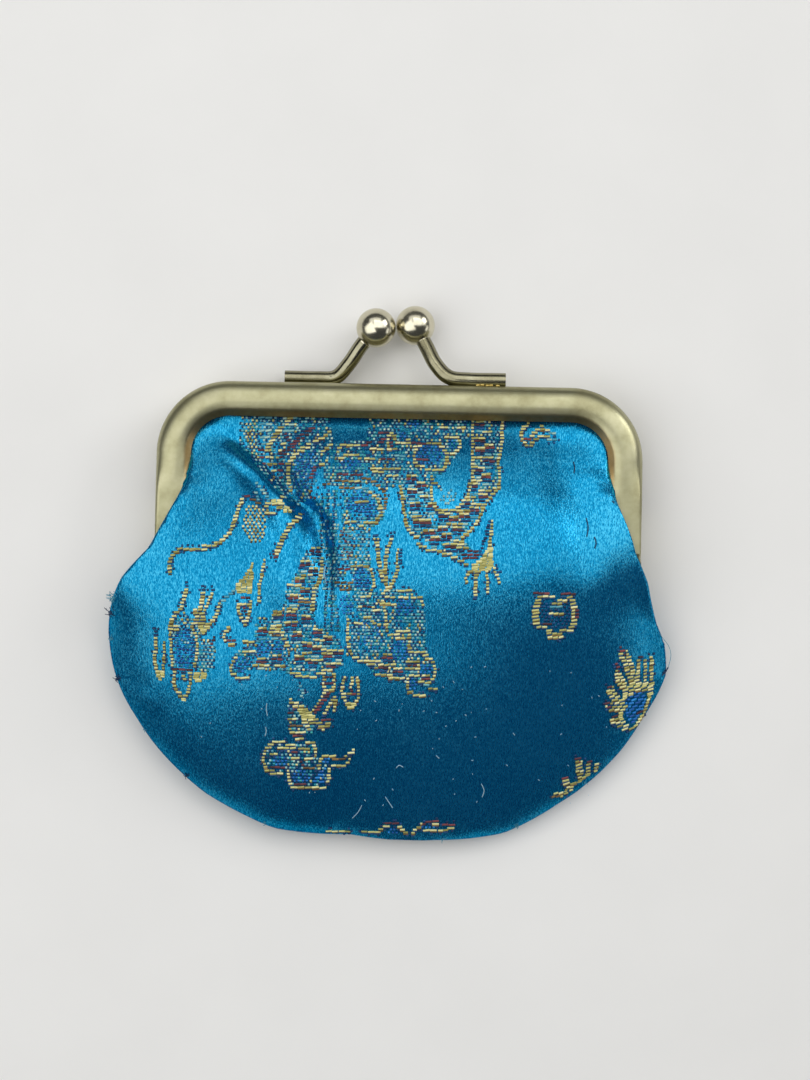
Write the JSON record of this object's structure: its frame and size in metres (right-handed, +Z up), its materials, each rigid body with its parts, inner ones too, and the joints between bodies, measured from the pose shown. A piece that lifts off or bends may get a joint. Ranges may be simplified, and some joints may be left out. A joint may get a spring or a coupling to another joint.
{
  "type": "kiss lock purse",
  "caption": "Small rounded coin purse of brocade cloth on a hinged metal frame that snaps shut with crossing ball prongs, shown closed and lying on its back.",
  "frame": {"origin": "on the table under the middle of the purse's outline, as it lies on its back", "axes": "+X to the purse's right, +Y from the bag's bottom to the ball clasp, +Z up, out of the front panel"},
  "size_m": [0.098, 0.0936, 0.0181],
  "materials": {
    "frame_metal": "pale antique brass plating, satin on the channel and polished on the balls",
    "rivet_metal": "antique brass plating, dull",
    "brocade": "turquoise satin brocade with gold, maroon and royal blue weft motifs"
  },
  "bodies": {
    "root": {"frame_front": "frame_metal", "frame_back": "frame_metal", "hinge_rivet_left": "rivet_metal", "hinge_rivet_right": "rivet_metal", "bag_front_panel": "brocade", "bag_back_panel": "brocade"}
  },
  "joints": []
}
